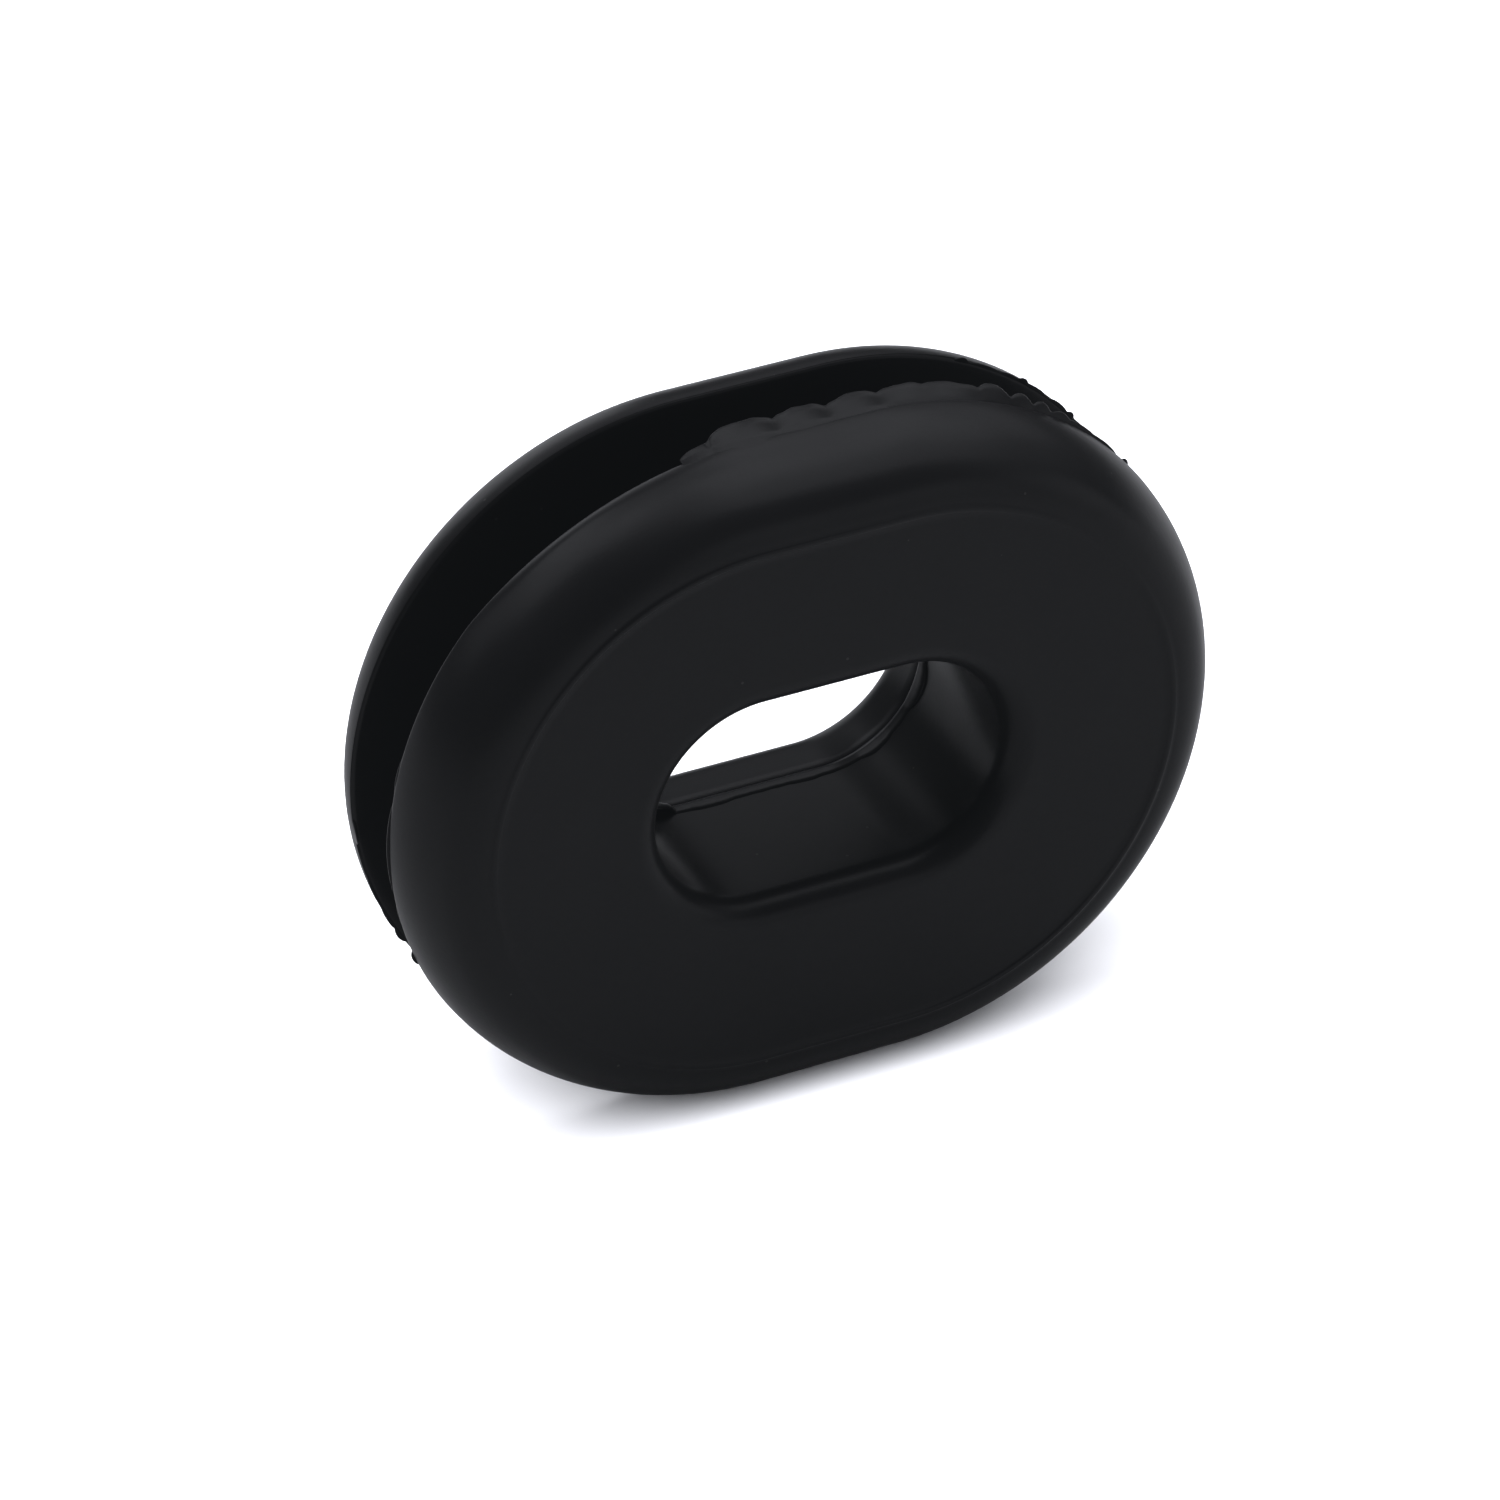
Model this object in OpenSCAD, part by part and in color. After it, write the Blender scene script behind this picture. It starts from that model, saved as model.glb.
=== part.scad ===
// Obround panel grommet, moulded in one piece of rubber.
// It stands on the straight sides of its two flanges: the bore runs along Y, with the domed front
// flange towards -Y, the long axis lies along X, and Z is up. The origin is the middle of its foot.
// One half-section, drawn as [distance from the arc centre, depth from the front face], is swept
// round an obround path, so the flanges, the groove and the bore all share the same arc centres.

/* [Flanges] */
// Width of the front flange across its straight sides
front_flange_w = 30; // [27:0.5:40]
// Width of the rear flange across its straight sides
rear_flange_w = 29.5; // [27:0.5:40]
// Length of the straight sides, between the arc centres
straight_len = 6.2; // [2:0.1:20]
// Thickness of the front flange, from its face to the groove
front_flange_t = 3.9; // [3:0.1:4.8]
// Thickness of the rear flange, from the groove to its face
rear_flange_t = 3.1; // [3:0.1:6]

/* [Rounding] */
// Radius of the front dome at its rim, next to the groove
dome_rim_r = 4.9; // [4.9:0.1:7]
// Radius of the front dome where it turns into the flat face
dome_face_r = 2.4; // [1:0.1:2.9]
// Radius of the rear flange's outer edge
rear_edge_r = 3; // [0.5:0.1:3]

/* [Groove] */
// Width of the groove, which holds the panel's edge
groove_w = 4.2; // [1.5:0.1:10]
// Width of the neck at the bottom of the groove, which fills the panel's cut-out
neck_w = 20; // [14:0.5:25]
// Radius of the fillets at the bottom of the groove
groove_fillet_r = 0.5; // [0.1:0.1:0.7]

/* [Bore] */
// Width of the bore across its flat walls
bore_w = 9.3; // [5:0.1:12]
// Radius of the bore's front lip
front_lip_r = 1.2; // [0.2:0.1:2]
// Radius of the bore's rear lip
rear_lip_r = 1.4; // [0.2:0.1:2]

/* [Mould lines] */
// Height of the fine ridge where the flat face meets the dome
face_line_h = 0.1; // [0.05:0.01:0.2]
// Height of the fine ridge where the mould's cores meet in the bore
bore_line_h = 0.15; // [0.05:0.01:0.3]

/* [Hidden] */
$fn = 96;

front_r = front_flange_w / 2;
rear_r = rear_flange_w / 2;
neck_r = neck_w / 2;
bore_r = bore_w / 2;
groove_front = front_flange_t;
groove_rear = front_flange_t + groove_w;
depth = groove_rear + rear_flange_t;

// The dome is two arcs that meet smoothly. The larger one is centred on the groove's plane, and the
// smaller one touches the flat face at face_r, where the fine ridge runs.
dome_arcs_gap = dome_rim_r - dome_face_r;
dome_arcs_rise = front_flange_t - dome_face_r;
dome_join_angle = asin(dome_arcs_rise / dome_arcs_gap);
face_r = front_r - dome_rim_r + dome_arcs_gap * cos(dome_join_angle);
dome_rim_centre = [front_r - dome_rim_r, groove_front];
dome_face_centre = [face_r, dome_face_r];

// The part of a disc between two directions, which are angles from the rim towards the front face.
module sector(centre, r, from, to) {
    reach = 2 * r;
    intersection() {
        translate(centre) circle(r);
        polygon([
            centre,
            centre + reach * [cos(from), -sin(from)],
            centre + reach * [cos(to), -sin(to)]
        ]);
    }
}

// The corner between two walls that a fillet of radius r fills, or that a rounded edge loses.
module corner(r) {
    difference() {
        square(r);
        translate([r, r]) circle(r);
    }
}

module front_dome() {
    sector(dome_rim_centre, dome_rim_r, 0, dome_join_angle);
    sector(dome_face_centre, dome_face_r, dome_join_angle, 90);
    polygon([
        [bore_r, 0],
        [face_r, 0],
        dome_face_centre,
        dome_rim_centre,
        [bore_r, groove_front]
    ]);
}

module rear_flange() {
    difference() {
        translate([bore_r, groove_rear]) square([rear_r - bore_r, rear_flange_t]);
        translate([rear_r, depth]) rotate(180) corner(rear_edge_r);
    }
}

module neck() {
    translate([bore_r, groove_front]) square([neck_r - bore_r, groove_w]);
    translate([neck_r, groove_front]) corner(groove_fillet_r);
    translate([neck_r, groove_rear]) mirror([0, 1]) corner(groove_fillet_r);
}

module half_section() {
    difference() {
        union() {
            front_dome();
            neck();
            rear_flange();
        }
        translate([bore_r, 0]) corner(front_lip_r);
        translate([bore_r, depth]) mirror([0, 1]) corner(rear_lip_r);
    }
    translate([face_r, 0]) circle(face_line_h);
    translate([bore_r, groove_rear]) circle(bore_line_h);
}

// Sweeps the half-section round both ends and along both straight sides.
module obround_sweep() {
    for (half_turn = [0, 180]) rotate(half_turn) {
        translate([straight_len / 2, 0, 0]) rotate(-90) rotate_extrude(angle = 180) children();
        translate([-straight_len / 2, 0, 0]) rotate([90, 0, 90]) linear_extrude(straight_len) children();
    }
}

module grommet() {
    foot = max(front_r, rear_r);
    middle = (depth - face_line_h) / 2;
    color("#1b1b1c")
        translate([0, -middle, foot]) rotate([-90, 0, 0])
            obround_sweep() half_section();
}

grommet();
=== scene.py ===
import math

import bmesh
import bpy
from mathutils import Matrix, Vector, noise


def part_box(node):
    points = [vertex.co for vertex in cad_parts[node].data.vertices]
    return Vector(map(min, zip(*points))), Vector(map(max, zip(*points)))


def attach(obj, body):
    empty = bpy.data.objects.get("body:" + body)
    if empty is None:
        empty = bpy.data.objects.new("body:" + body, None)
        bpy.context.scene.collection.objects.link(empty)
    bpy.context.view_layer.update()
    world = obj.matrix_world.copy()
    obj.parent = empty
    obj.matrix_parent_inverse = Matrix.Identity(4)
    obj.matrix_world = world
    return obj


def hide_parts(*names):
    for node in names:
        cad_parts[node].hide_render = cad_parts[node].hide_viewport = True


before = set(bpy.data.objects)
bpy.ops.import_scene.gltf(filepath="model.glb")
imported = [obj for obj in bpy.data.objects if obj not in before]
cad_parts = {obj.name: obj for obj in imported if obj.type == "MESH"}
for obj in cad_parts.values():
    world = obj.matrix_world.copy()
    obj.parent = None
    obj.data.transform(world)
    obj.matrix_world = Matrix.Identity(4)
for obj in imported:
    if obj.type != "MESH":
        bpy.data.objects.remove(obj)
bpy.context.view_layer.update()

# An obround rubber grommet, standing on the straight sides of its two flanges. The bore runs along Y,
# the domed front flange faces -Y, and the long axis lies along X. All lengths are in metres.
# A place in the section is given by rho, how far it lies out from the obround's centre line, and by
# depth, how far it lies behind the front face.

MM = 0.001

# ---- What the frame gives ----

LOW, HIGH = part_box("grommet")
FACE_LINE_H = 0.1 * MM
FRONT_R = (HIGH.z - LOW.z) / 2
HALF_STRAIGHT = (HIGH.x - LOW.x) / 2 - FRONT_R
CENTRE_Z = (HIGH.z + LOW.z) / 2
FACE_Y = LOW.y + FACE_LINE_H
THICK = HIGH.y - FACE_Y

# ---- Sizes of the section ----

REAR_R = 14.75 * MM
FRONT_FLANGE_T = 3.9 * MM
GROOVE_W = 4.2 * MM
GROOVE_REAR = FRONT_FLANGE_T + GROOVE_W
NECK_R = 10 * MM
GROOVE_FILLET_R = 0.5 * MM
BORE_R = 4.65 * MM
FRONT_LIP_R = 1.2 * MM
REAR_LIP_R = 1.4 * MM
DOME_RIM_R = 4.9 * MM
DOME_FACE_R = 2.4 * MM
REAR_EDGE_R = 3.0 * MM
FRONT_ROUND_R = 0.25 * MM
REAR_ROUND_R = 0.2 * MM

# The low bead round the flat of the face, the angle at which it is tallest, there and straight across,
# and the share of its height that it keeps where it is lowest
BEAD_HALF_W = 0.16 * MM
BEAD_H = 0.07 * MM
BEAD_TALLEST_AT = math.radians(118)
BEAD_LEAST = 0.24

# The worn stretch of the front rim: how far in front of the groove it starts, how far it drops, and its
# middle and half its length, from the middle of the top towards the left
SOFT_W = 0.9 * MM
SOFT_DROP = 0.3 * MM
SOFT_MIDDLE = 9.5 * MM
SOFT_REACH = 6.5 * MM

# The fine slit that the parting line leaves in the bore, behind its film
PARTING_HALF_W = 0.08 * MM
PARTING_DEPTH = 0.12 * MM

# Steps of the sweep, how near two of its points merge, and the slack on a share that may reach 1
END_STEPS = 120
STRAIGHT_STEPS = 16
MERGE_DISTANCE = 0.002 * MM
SLACK = 0.001


def in_section(rho, depth):
    """The place of a section point on the line through the right-hand arc centre."""
    return Vector((HALF_STRAIGHT, FACE_Y + depth, CENTRE_Z + rho))


def on_path(along, path_r, rho, depth, up=1):
    """The place of a section point once the section is moved along an obround path of that radius.

    along starts in the middle of the top, or of the bottom where up is -1, and grows towards +X."""
    side = math.copysign(1, along)
    turn = max(0, abs(along) - HALF_STRAIGHT) / path_r
    if turn > math.pi:
        x = side * (2 * HALF_STRAIGHT + math.pi * path_r - abs(along))
        return Vector((x, FACE_Y + depth, CENTRE_Z - up * rho))
    x = side * (min(abs(along), HALF_STRAIGHT) + rho * math.sin(turn))
    return Vector((x, FACE_Y + depth, CENTRE_Z + up * rho * math.cos(turn)))


# ---- The moulded body ----

class Pen:
    """Draws an outline in edit mode, one vertex after another, in the plane across the straight sides."""

    def __init__(self, name, rho, depth):
        self.place = in_section(rho, depth)
        bpy.ops.object.select_all(action="DESELECT")
        bpy.ops.mesh.primitive_plane_add(size=MM, location=self.place)
        self.piece = bpy.context.object
        self.piece.name = name
        bpy.ops.object.transform_apply(location=True, rotation=True, scale=True)
        bpy.ops.object.mode_set(mode="EDIT")
        bpy.ops.mesh.select_mode(type="VERT")
        bpy.ops.mesh.select_all(action="SELECT")
        bpy.ops.mesh.merge(type="CENTER")

    def line(self, rho, depth, steps):
        """Draws a straight stretch to a section point, in that many steps."""
        stride = (in_section(rho, depth) - self.place) / steps
        for _ in range(steps):
            bpy.ops.mesh.extrude_region_move(TRANSFORM_OT_translate={"value": stride})
        self.place = in_section(rho, depth)

    def arc(self, rho, depth, turn, steps):
        """Draws an arc about a section point, in that many steps.

        turn is in degrees, and a positive one goes from the back towards the rim."""
        centre = in_section(rho, depth)
        bpy.ops.mesh.spin(steps=steps, angle=-math.radians(turn), center=centre, axis=(1, 0, 0))
        arm = self.place - centre
        cosine = math.cos(math.radians(turn))
        sine = math.sin(math.radians(turn))
        self.place = centre + Vector((0, arm.y * cosine - arm.z * sine, arm.y * sine + arm.z * cosine))


def sweep_round_obround():
    """Takes the outline in edit mode once round the obround, two half turns and two straight stretches."""
    bpy.ops.mesh.select_all(action="SELECT")
    for side in (1, -1):
        centre = (side * HALF_STRAIGHT, 0, CENTRE_Z)
        bpy.ops.mesh.spin(steps=END_STEPS, angle=-math.pi, center=centre, axis=(0, 1, 0))
        stride = (-side * 2 * HALF_STRAIGHT / STRAIGHT_STEPS, 0, 0)
        for _ in range(STRAIGHT_STEPS):
            bpy.ops.mesh.extrude_region_move(TRANSFORM_OT_translate={"value": stride})
    bpy.ops.mesh.select_all(action="SELECT")
    bpy.ops.mesh.remove_doubles(threshold=MERGE_DISTANCE)
    bpy.ops.mesh.normals_make_consistent(inside=False)
    bpy.ops.object.mode_set(mode="OBJECT")


def fade_face_bead(piece):
    """Lowers the bead where the real moulding loses it, on the right and at the lower left."""
    for vertex in piece.data.vertices:
        proud = FACE_Y - vertex.co.y
        if proud <= 0:
            continue
        angle = math.atan2(vertex.co.z - CENTRE_Z, vertex.co.x)
        fullness = (1 + math.cos(2 * (angle - BEAD_TALLEST_AT))) / 2
        vertex.co.y = FACE_Y - proud * (BEAD_LEAST + (1 - BEAD_LEAST) * fullness)


def soften_rim(piece):
    """Wears the front rim's corner away at the upper left, mostly beyond the end of the film."""
    for vertex in piece.data.vertices:
        deep = (vertex.co.y - FACE_Y - FRONT_FLANGE_T + SOFT_W) / SOFT_W
        if not 0 < deep <= 1 + SLACK or vertex.co.z < CENTRE_Z or vertex.co.x > 0:
            continue
        arm = Vector((min(0, vertex.co.x + HALF_STRAIGHT), 0, vertex.co.z - CENTRE_Z))
        if arm.length < FRONT_R - SOFT_W:
            continue
        along = FRONT_R * math.atan2(-arm.x, arm.z) + min(-vertex.co.x, HALF_STRAIGHT)
        share = max(0, 1 - ((along - SOFT_MIDDLE) / SOFT_REACH) ** 2)
        vertex.co -= arm.normalized() * SOFT_DROP * share * deep * deep


def make_body():
    rise = FRONT_FLANGE_T - DOME_FACE_R
    gap = DOME_RIM_R - DOME_FACE_R
    join = math.degrees(math.asin(rise / gap))
    rim_centre = FRONT_R - DOME_RIM_R
    face_r = rim_centre + gap * math.cos(math.radians(join))
    round_arm = DOME_RIM_R - FRONT_ROUND_R
    rim_turn = math.degrees(math.asin(FRONT_ROUND_R / round_arm))

    bead_r = (BEAD_HALF_W ** 2 + BEAD_H ** 2) / (2 * BEAD_H)
    bead_centre = bead_r - BEAD_H
    bead_end = BEAD_HALF_W ** 2 / (2 * (DOME_FACE_R - bead_centre))
    bead_turn = math.degrees(math.asin(BEAD_HALF_W / bead_r) + math.acos((bead_centre - bead_end) / bead_r))
    dome_turn = 90 - join - math.degrees(math.acos(1 - bead_end / DOME_FACE_R))

    pen = Pen("grommet_body", BORE_R, FRONT_LIP_R)
    pen.arc(BORE_R + FRONT_LIP_R, FRONT_LIP_R, -90, 14)
    pen.line(face_r - BEAD_HALF_W, 0, 18)
    pen.arc(face_r, bead_centre, -bead_turn, 8)
    pen.arc(face_r, DOME_FACE_R, -dome_turn, 14)
    pen.arc(rim_centre, FRONT_FLANGE_T, -(join - rim_turn), 24)
    round_centre = rim_centre + round_arm * math.cos(math.radians(rim_turn))
    pen.arc(round_centre, FRONT_FLANGE_T - FRONT_ROUND_R, -90 - rim_turn, 8)
    pen.line(NECK_R + GROOVE_FILLET_R, FRONT_FLANGE_T, 12)
    pen.arc(NECK_R + GROOVE_FILLET_R, FRONT_FLANGE_T + GROOVE_FILLET_R, 90, 4)
    pen.line(NECK_R, GROOVE_REAR - GROOVE_FILLET_R, 8)
    pen.arc(NECK_R + GROOVE_FILLET_R, GROOVE_REAR - GROOVE_FILLET_R, 90, 4)
    pen.line(REAR_R - REAR_ROUND_R, GROOVE_REAR, 12)
    pen.arc(REAR_R - REAR_ROUND_R, GROOVE_REAR + REAR_ROUND_R, -90, 4)
    pen.line(REAR_R, THICK - REAR_EDGE_R, 1)
    pen.arc(REAR_R - REAR_EDGE_R, THICK - REAR_EDGE_R, -90, 24)
    pen.line(BORE_R + REAR_LIP_R, THICK, 14)
    pen.arc(BORE_R + REAR_LIP_R, THICK - REAR_LIP_R, -90, 14)
    pen.line(BORE_R, GROOVE_REAR + PARTING_HALF_W, 3)
    pen.line(BORE_R + PARTING_DEPTH, GROOVE_REAR, 1)
    pen.line(BORE_R, GROOVE_REAR - PARTING_HALF_W, 1)
    pen.line(BORE_R, FRONT_LIP_R, 20)
    sweep_round_obround()
    fade_face_bead(pen.piece)
    soften_rim(pen.piece)
    bpy.ops.object.shade_smooth_by_angle(angle=math.radians(60))
    return pen.piece


# ---- Flash, the thin torn film that the mould leaves along its parting lines ----

# Each scallop of a film: its middle along the rim, half its width, how far it stands out, how far it
# leans over at its root, its near end and its far end in degrees, and its form, from 0.5 where it is
# round to 1.5 where it is a narrow peak
FRONT_SCALLOPS = [
    (1.4, 6.6, 0.76, 82, 56, 54, 0.8),
    (-4.0, 1.3, 0.50, 84, 84, 80, 1.0),
    (-2.2, 1.75, 1.16, 84, 80, 62, 0.5),
    (0.3, 1.5, 1.13, 82, 78, 58, 0.5),
    (2.6, 1.6, 1.08, 70, 78, 58, 0.6),
    (4.9, 1.7, 1.04, 60, 72, 64, 0.5),
    (6.6, 2.2, 0.98, 58, 72, 60, 0.6),
    (9.6, 4.2, 0.28, 34, 40, 20, 0.6),
    (8.8, 1.25, 0.90, 44, 56, 44, 1.4),
    (10.2, 0.85, 0.65, 30, 46, 34, 1.4),
    (11.25, 0.65, 0.55, 24, 40, 28, 1.4),
    (12.3, 0.8, 0.41, 16, 34, 20, 1.4),
    (13.3, 1.3, 0.27, 12, 20, 12, 0.8),
    (14.7, 1.2, 0.19, 6, 8, 6, 0.6),
    (16.4, 0.25, 0.19, 6, 8, 6, 0.6),
]
FRONT_LEFT_SCALLOPS = [
    (-32.2, 0.42, 0.20, 6, 6, 6, 0.6),
    (-29.8, 0.7, 0.07, 6, 6, 6, 0.6),
    (-26.6, 2.2, 0.16, 10, 10, 10, 0.6),
    (-23.1, 0.8, 0.08, 6, 6, 6, 0.6),
]
REAR_SCALLOPS = [
    (9.7, 0.35, 0.16, -8, -8, -8, 0.8),
    (10.9, 0.8, 0.08, -6, -6, -6, 0.6),
    (12.3, 0.6, 0.10, -6, -6, -6, 0.6),
    (13.0, 0.3, 0.22, -20, -14, -8, 0.8),
    (13.8, 0.7, 0.11, -6, -6, -6, 0.6),
    (15.3, 0.6, 0.13, -8, -8, -6, 0.6),
    (16.1, 0.25, 0.18, -8, -8, -6, 0.8),
    (17.0, 0.7, 0.08, -6, -6, -6, 0.6),
]
REAR_LEFT_SCALLOPS = [
    (-34.0, 0.5, 0.17, -4, -4, -4, 0.8),
    (-32.9, 0.8, 0.11, -4, -4, -4, 0.6),
    (-31.3, 1.0, 0.08, -4, -4, -4, 0.6),
    (-28.1, 0.55, 0.42, -50, -84, -84, 0.8),
]
BORE_SCALLOPS = [
    (0.8, 14.5, 0.52, -60, -92, -92, 0.15),
    (-9.4, 1.6, 0.70, -60, -90, -90, 0.6),
    (-6.9, 1.2, 0.86, -40, -84, -80, 0.7),
    (-4.9, 1.3, 1.10, -6, -62, -50, 0.7),
    (-2.0, 1.9, 0.66, -60, -92, -92, 0.8),
    (2.2, 1.6, 0.62, -60, -92, -92, 0.8),
    (5.6, 1.5, 0.70, -60, -92, -92, 0.8),
    (8.8, 1.6, 0.80, -40, -90, -86, 0.7),
    (11.4, 1.8, 0.98, -30, -86, -82, 0.6),
]

# How much of a film's width is sunk in the body, the steps across it, how many of them are sunk, the
# stride along it, and the height that it keeps between scallops
FILM_ROOT = 0.6 * MM
FILM_ACROSS = 12
FILM_SUNK_STEPS = 2
FILM_STRIDE = 0.08 * MM
FILM_LEAST = 0.02 * MM

# How thick a film is, how much thicker for its height, the share that it loses towards its edge, and
# the most that it may be
FILM_THICK = 0.09 * MM
FILM_THICKER = 0.12
FILM_TAPER = 0.4
FILM_MOST_THICK = 0.3 * MM

# The share of its height in which a film turns from the lean of its root, the share at which its edge
# begins to curl, and the lean in degrees up to which it doesn't curl
FILM_TURN = 0.25
FILM_CURL_FROM = 0.6
FILM_STRAIGHT_UP_TO = 12

# How sharply one scallop's lean gives way to the next one's, how its own lean spreads from end to end,
# and the weight that every scallop keeps, so that the weights never add up to nothing
LEAN_SHARPNESS = 6
LEAN_SPREAD = 0.6
LEAST_WEIGHT = 1e-12

# The ripple in a film's height: its share of the height, its waves to a millimetre, and the row of the
# noise that it follows
RIPPLE = 0.06
RIPPLE_WAVES = 2.1
RIPPLE_ROW = 0.3


def scallop_share(x, form):
    """How high a scallop stands at x half-widths from its middle, from 1 down to 0."""
    return max(0, 1 - x * x) ** form


def ease(share):
    """Goes smoothly from 0 to 1."""
    share = min(1, max(0, share))
    return share * share * (3 - 2 * share)


def film_at(scallops, along, valley):
    """The film's height and its leans, at the root and above it, in degrees.

    valley is how much of its lean a scallop loses at its two ends, so that each one bulges."""
    total, height, root, lean = 0, 0, 0, 0
    for middle, half_width, tallest, lean_root, lean_near, lean_far, form in scallops:
        x = (along / MM - middle) / half_width
        share = tallest * scallop_share(x, form)
        weight = share ** LEAN_SHARPNESS + LEAST_WEIGHT
        bulge = 1 - valley * min(1, x * x)
        total += weight
        height = max(height, share)
        root += weight * lean_root
        lean += weight * bulge * (lean_near + (lean_far - lean_near) * ease(0.5 + LEAN_SPREAD * x))
    ripple = 1 + RIPPLE * noise.noise(Vector((along / MM * RIPPLE_WAVES, RIPPLE_ROW, 0)))
    return max(height * ripple * MM, FILM_LEAST), root / total, lean / total


def face_outwards(piece):
    """Makes the faces agree, and turns them all if they enclose less than nothing."""
    solid = bmesh.new()
    solid.from_mesh(piece.data)
    bmesh.ops.recalc_face_normals(solid, faces=solid.faces)
    if solid.calc_volume(signed=True) < 0:
        bmesh.ops.reverse_faces(solid, faces=solid.faces)
    solid.to_mesh(piece.data)
    solid.free()


def make_film(name, scallops, path, root_place, span, curl=84, valley=0.0, out=1, up=1):
    """A strip bent along a rim and torn to its scallops.

    path is the rim's radius, root_place the rho and depth where the film leaves the body, and span its
    two ends along the rim. curl is the lean of the torn edge. out is -1 where the film stands inwards."""
    start, end = span
    length = (end - start) * MM
    columns = round(length / FILM_STRIDE)
    open_steps = FILM_ACROSS - FILM_SUNK_STEPS
    bpy.ops.object.select_all(action="DESELECT")
    bpy.ops.mesh.primitive_grid_add(x_subdivisions=columns, y_subdivisions=FILM_ACROSS, size=1)
    film = bpy.context.object
    film.name = name
    group = film.vertex_groups.new(name="thickness")
    for vertex in film.data.vertices:
        along = start * MM + (vertex.co.x + 0.5) * length
        across = round((vertex.co.y + 0.5) * FILM_ACROSS)
        height, root, lean = film_at(scallops, along, valley)
        sunk = FILM_ROOT * (1 - min(across, FILM_SUNK_STEPS) / FILM_SUNK_STEPS)
        rho = root_place[0] - out * sunk * math.cos(math.radians(root))
        depth = root_place[1] - sunk * math.sin(math.radians(root))
        stride = height / open_steps
        for step in range(FILM_SUNK_STEPS, across):
            share = (step - FILM_SUNK_STEPS) / (open_steps - 1)
            slope = root + (lean - root) * ease(share / FILM_TURN)
            if abs(lean) > FILM_STRAIGHT_UP_TO:
                slope += (curl - slope) * ease((share - FILM_CURL_FROM) / (1 - FILM_CURL_FROM))
            rho += out * stride * math.cos(math.radians(slope))
            depth += stride * math.sin(math.radians(slope))
        vertex.co = on_path(along, path, rho, depth, up)
        taper = 1 - FILM_TAPER * across / FILM_ACROSS
        thick = (FILM_THICK + FILM_THICKER * height) / FILM_MOST_THICK
        group.add([vertex.index], thick * taper, "REPLACE")
    wall = film.modifiers.new("wall", "SOLIDIFY")
    wall.thickness = FILM_MOST_THICK
    wall.offset = 0
    wall.vertex_group = "thickness"
    rounding = film.modifiers.new("rounding", "SUBSURF")
    rounding.levels = 1
    rounding.render_levels = 1
    bpy.ops.object.modifier_apply(modifier="wall")
    bpy.ops.object.modifier_apply(modifier="rounding")
    face_outwards(film)
    bpy.ops.object.shade_smooth()
    return film


def make_flash():
    """The five films. Each root lies a little way inside the body."""
    front_root = (FRONT_R - 0.09 * MM, FRONT_FLANGE_T - 0.06 * MM)
    left_root = (FRONT_R - 0.09 * MM, FRONT_FLANGE_T - 0.09 * MM)
    rear_root = (REAR_R - 0.05 * MM, GROOVE_REAR + 0.07 * MM)
    bore_root = (BORE_R, GROOVE_REAR - 0.06 * MM)
    return [
        make_film("flash_front_rim", FRONT_SCALLOPS, FRONT_R, front_root, (-5.2, 16.7), valley=0.4),
        make_film("flash_front_left", FRONT_LEFT_SCALLOPS, FRONT_R, left_root, (-32.7, -22)),
        make_film("flash_rear_rim", REAR_SCALLOPS, REAR_R, rear_root, (9.3, 17.8)),
        make_film("flash_rear_left", REAR_LEFT_SCALLOPS, REAR_R, rear_root, (-34.6, -27.4), curl=-84),
        make_film("flash_bore", BORE_SCALLOPS, BORE_R, bore_root, (-12.5, 14.5), curl=-125, out=-1, up=-1),
    ]


# ---- The finish ----

# The rubber's two tints, and the shine of its surface
RUBBER_DARK = (0.0082, 0.0082, 0.0088, 1)
RUBBER_PALE = (0.0112, 0.0110, 0.0116, 1)
RUBBER_IOR = 1.2
SMOOTHEST = 0.26
ROUGHEST = 0.36

# The specks of dust: their colour, the cells to a metre, of which each holds one at most, the radius of
# a speck in widths of its cell, and the random brightness up to which a cell has none
DUST_COLOUR = (0.032, 0.032, 0.031, 1)
DUST_CELLS = 560
DUST_R = 0.035
DUST_FREE = 0.35

# The slow swell and the fine moulded grain: how high they stand and how strongly they show
SWELL_H = 0.06 * MM
SWELL_STRENGTH = 0.5
GRAIN_H = 0.02 * MM
GRAIN_STRENGTH = 0.14

# The scale and the detail of each noise: under the tint, the shine, the swell and the grain
TINT_NOISE = (260, 4)
SHINE_NOISE = (420, 5)
SWELL_NOISE = (190, 2)
GRAIN_NOISE = (5200, 3)


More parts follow.
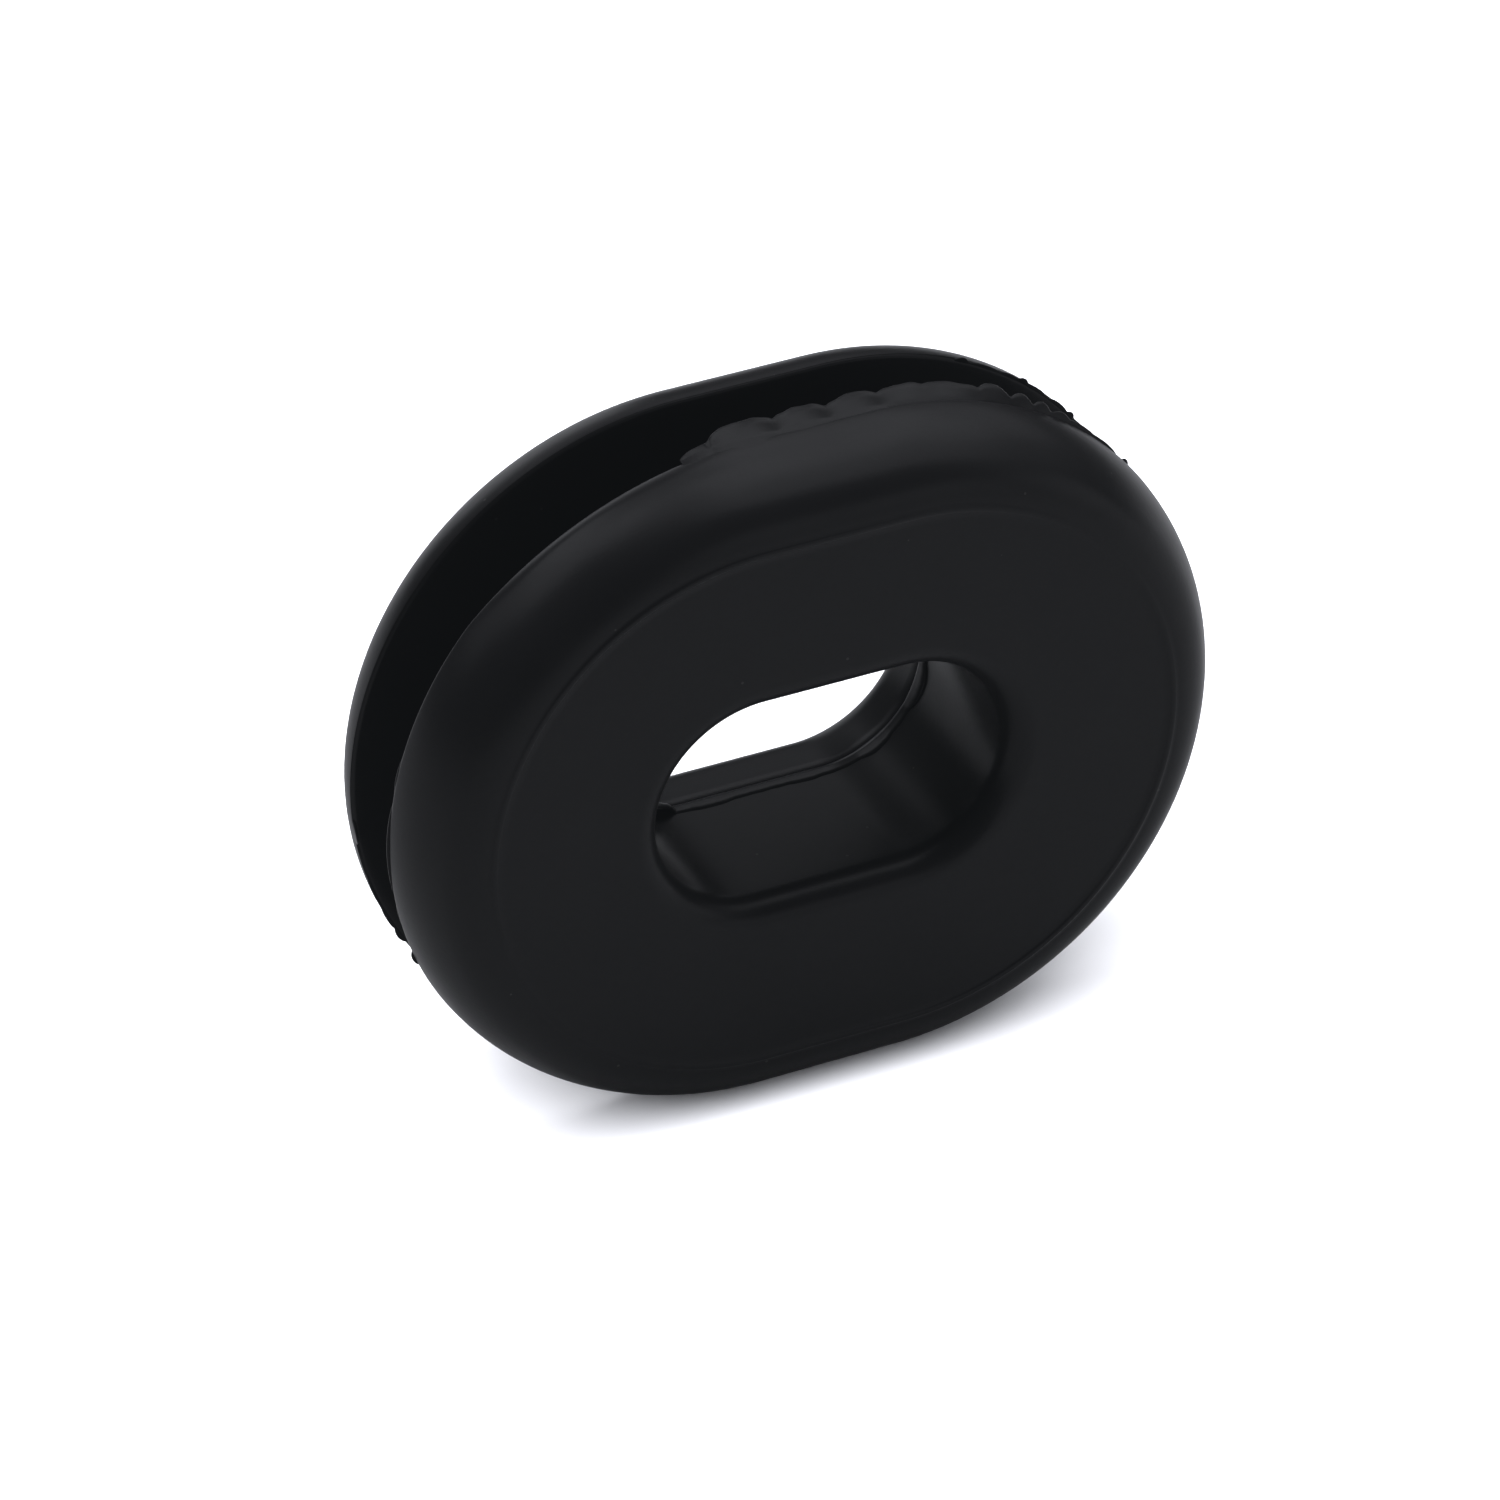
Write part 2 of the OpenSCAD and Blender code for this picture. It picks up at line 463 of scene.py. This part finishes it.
def make_rubber():
    material = bpy.data.materials.new("moulded_black_rubber")
    material.use_nodes = True
    nodes = material.node_tree.nodes
    link = material.node_tree.links.new
    shader = nodes["Principled BSDF"]
    shader.inputs["IOR"].default_value = RUBBER_IOR

    place = nodes.new("ShaderNodeTexCoord")

    def noise_texture(scale, detail):
        texture = nodes.new("ShaderNodeTexNoise")
        texture.inputs["Scale"].default_value = scale
        texture.inputs["Detail"].default_value = detail
        link(place.outputs["Object"], texture.inputs["Vector"])
        return texture

    bloom = noise_texture(*TINT_NOISE)
    tint = nodes.new("ShaderNodeMix")
    tint.data_type = "RGBA"
    tint.inputs["A"].default_value = RUBBER_DARK
    tint.inputs["B"].default_value = RUBBER_PALE
    link(bloom.outputs["Fac"], tint.inputs["Factor"])

    dust = nodes.new("ShaderNodeTexVoronoi")
    dust.inputs["Scale"].default_value = DUST_CELLS
    link(place.outputs["Object"], dust.inputs["Vector"])
    near = nodes.new("ShaderNodeMath")
    near.operation = "LESS_THAN"
    near.inputs[1].default_value = DUST_R
    link(dust.outputs["Distance"], near.inputs[0])
    chosen = nodes.new("ShaderNodeMath")
    chosen.operation = "GREATER_THAN"
    chosen.inputs[1].default_value = DUST_FREE
    link(dust.outputs["Color"], chosen.inputs[0])
    speck = nodes.new("ShaderNodeMath")
    speck.operation = "MULTIPLY"
    link(near.outputs["Value"], speck.inputs[0])
    link(chosen.outputs["Value"], speck.inputs[1])
    dusted = nodes.new("ShaderNodeMix")
    dusted.data_type = "RGBA"
    dusted.inputs["B"].default_value = DUST_COLOUR
    link(speck.outputs["Value"], dusted.inputs["Factor"])
    link(tint.outputs["Result"], dusted.inputs["A"])
    link(dusted.outputs["Result"], shader.inputs["Base Color"])

    shine = nodes.new("ShaderNodeMapRange")
    shine.inputs["To Min"].default_value = SMOOTHEST
    shine.inputs["To Max"].default_value = ROUGHEST
    link(noise_texture(*SHINE_NOISE).outputs["Fac"], shine.inputs["Value"])
    link(shine.outputs["Result"], shader.inputs["Roughness"])

    def bump(texture, strength, distance):
        relief = nodes.new("ShaderNodeBump")
        relief.inputs["Strength"].default_value = strength
        relief.inputs["Distance"].default_value = distance
        link(texture.outputs["Fac"], relief.inputs["Height"])
        return relief

    swell = bump(noise_texture(*SWELL_NOISE), SWELL_STRENGTH, SWELL_H)
    grain = bump(noise_texture(*GRAIN_NOISE), GRAIN_STRENGTH, GRAIN_H)
    link(swell.outputs["Normal"], grain.inputs["Normal"])
    link(grain.outputs["Normal"], shader.inputs["Normal"])
    return material


# ---- Floor, light and camera ----

FLOOR_SIZE = 6
FLOOR_WHITE = (0.9, 0.9, 0.9, 1)
BOUNCE_DROP = 0.05 * MM


def make_floor():
    """A pale floor. Its upper sheet is what the camera sees, under a light of its own, and its lower sheet
    is what the rubber reflects."""
    material = bpy.data.materials.new("floor_white")
    material.use_nodes = True
    shader = material.node_tree.nodes["Principled BSDF"]
    shader.inputs["Base Color"].default_value = FLOOR_WHITE
    shader.inputs["Roughness"].default_value = 1.0
    shader.inputs["Specular IOR Level"].default_value = 0.0
    sheets = []
    for name, height in (("floor", 0), ("floor_bounce", -BOUNCE_DROP)):
        bpy.ops.object.select_all(action="DESELECT")
        bpy.ops.mesh.primitive_plane_add(size=FLOOR_SIZE, location=(0, 0, height))
        sheet = bpy.context.object
        sheet.name = name
        sheet.data.materials.append(material)
        seen = name == "floor"
        sheet.visible_camera = seen
        sheet.visible_glossy = not seen
        sheet.visible_diffuse = not seen
        sheet.visible_shadow = False
        sheets.append(sheet)
    return sheets[0]


PANEL_DISTANCE = 0.6
PANEL_COLOUR = (0.93, 0.94, 1)


def add_panel(name, bearing, height, size, radiance):
    """A soft light panel aimed at the grommet. bearing turns from +Y towards +X, and height is above the
    floor's level, both in degrees; radiance is what its face shows."""
    turn = math.radians(bearing)
    tilt = math.radians(height)
    towards = Vector((math.sin(turn) * math.cos(tilt), math.cos(turn) * math.cos(tilt), math.sin(tilt)))
    data = bpy.data.lights.new(name, "AREA")
    data.shape = "RECTANGLE"
    data.size = size[0]
    data.size_y = size[1]
    data.energy = radiance * math.pi * size[0] * size[1]
    data.color = PANEL_COLOUR
    lamp = bpy.data.objects.new(name, data)
    bpy.context.scene.collection.objects.link(lamp)
    lamp.location = Vector((0, 0, CENTRE_Z)) + towards * PANEL_DISTANCE
    lamp.rotation_euler = (-towards).to_track_quat("-Z", "Y").to_euler()
    lamp.visible_camera = False
    return lamp


# The five brightnesses at which the panels of the light tent are set
BRIGHT = 3.0
MIDDLE = 2.1
DIM = 1.3
WEAK = 0.9
FAINT = 0.4

# The light tent, in rings of panels: the ring's height, the width of its panels, and the bearing and
# brightness of each panel that is lit
PANEL_TALL = 0.212
TENT = [
    (90, 0.22, [(0, DIM)]),
    (70, 0.22, [(0, DIM), (60, BRIGHT), (120, MIDDLE), (300, BRIGHT)]),
    (50, 0.245, [(36, MIDDLE), (72, MIDDLE), (108, DIM), (288, MIDDLE), (324, BRIGHT)]),
    (30, 0.28, [(0, FAINT), (30, FAINT), (60, WEAK), (90, FAINT), (120, FAINT), (300, WEAK)]),
    (10, 0.31, [(0, DIM), (120, WEAK), (155, WEAK)]),
]

# The world beyond the tent, and the stray light in the lens, which lifts the darkest tones a little
WORLD_COLOUR = (0.01, 0.01, 0.01, 1)
STRAY_LIGHT = (0.004, 0.0045, 0.005)


def light_scene(floor):
    for height, width, panels in TENT:
        for bearing, radiance in panels:
            add_panel(f"panel_{bearing}_{height}", bearing, height, (width, PANEL_TALL), radiance)
    lit = bpy.data.collections.new("lit_floor")
    lit.objects.link(floor)
    floor_light = add_panel("floor_light", bearing=230, height=66, size=(0.9, 0.9), radiance=5.5)
    floor_light.light_linking.receiver_collection = lit
    world = bpy.data.worlds.new("studio")
    world.use_nodes = True
    world.node_tree.nodes["Background"].inputs["Color"].default_value = WORLD_COLOUR
    bpy.context.scene.world = world
    view = bpy.context.scene.view_settings
    view.view_transform = "Standard"
    view.use_curve_mapping = True
    view.curve_mapping.black_level = [-light for light in STRAY_LIGHT]


# The camera looks from the front left and from above
CAMERA_BEARING = math.radians(-25.7)
CAMERA_HEIGHT = math.radians(33.57)
CAMERA_DISTANCE = 348 * MM
CAMERA_LENS = 207.7
AIM_FROM_CENTRE = Vector((-2.7, -2.88, 1.16)) * MM


def make_camera():
    look = Vector((
        -math.sin(CAMERA_BEARING) * math.cos(CAMERA_HEIGHT),
        math.cos(CAMERA_BEARING) * math.cos(CAMERA_HEIGHT),
        -math.sin(CAMERA_HEIGHT),
    ))
    data = bpy.data.cameras.new("camera")
    data.lens = CAMERA_LENS
    data.sensor_width = 36
    data.clip_start = 0.01
    camera = bpy.data.objects.new("camera", data)
    bpy.context.scene.collection.objects.link(camera)
    camera.location = Vector((0, 0, CENTRE_Z)) + AIM_FROM_CENTRE - look * CAMERA_DISTANCE
    camera.rotation_euler = look.to_track_quat("-Z", "Y").to_euler()
    bpy.context.scene.camera = camera


make_camera()
light_scene(make_floor())

rubber = make_rubber()
body = make_body()
flash = make_flash()
for piece in [body] + flash:
    piece.data.materials.append(rubber)
    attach(piece, "root")
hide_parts("grommet")
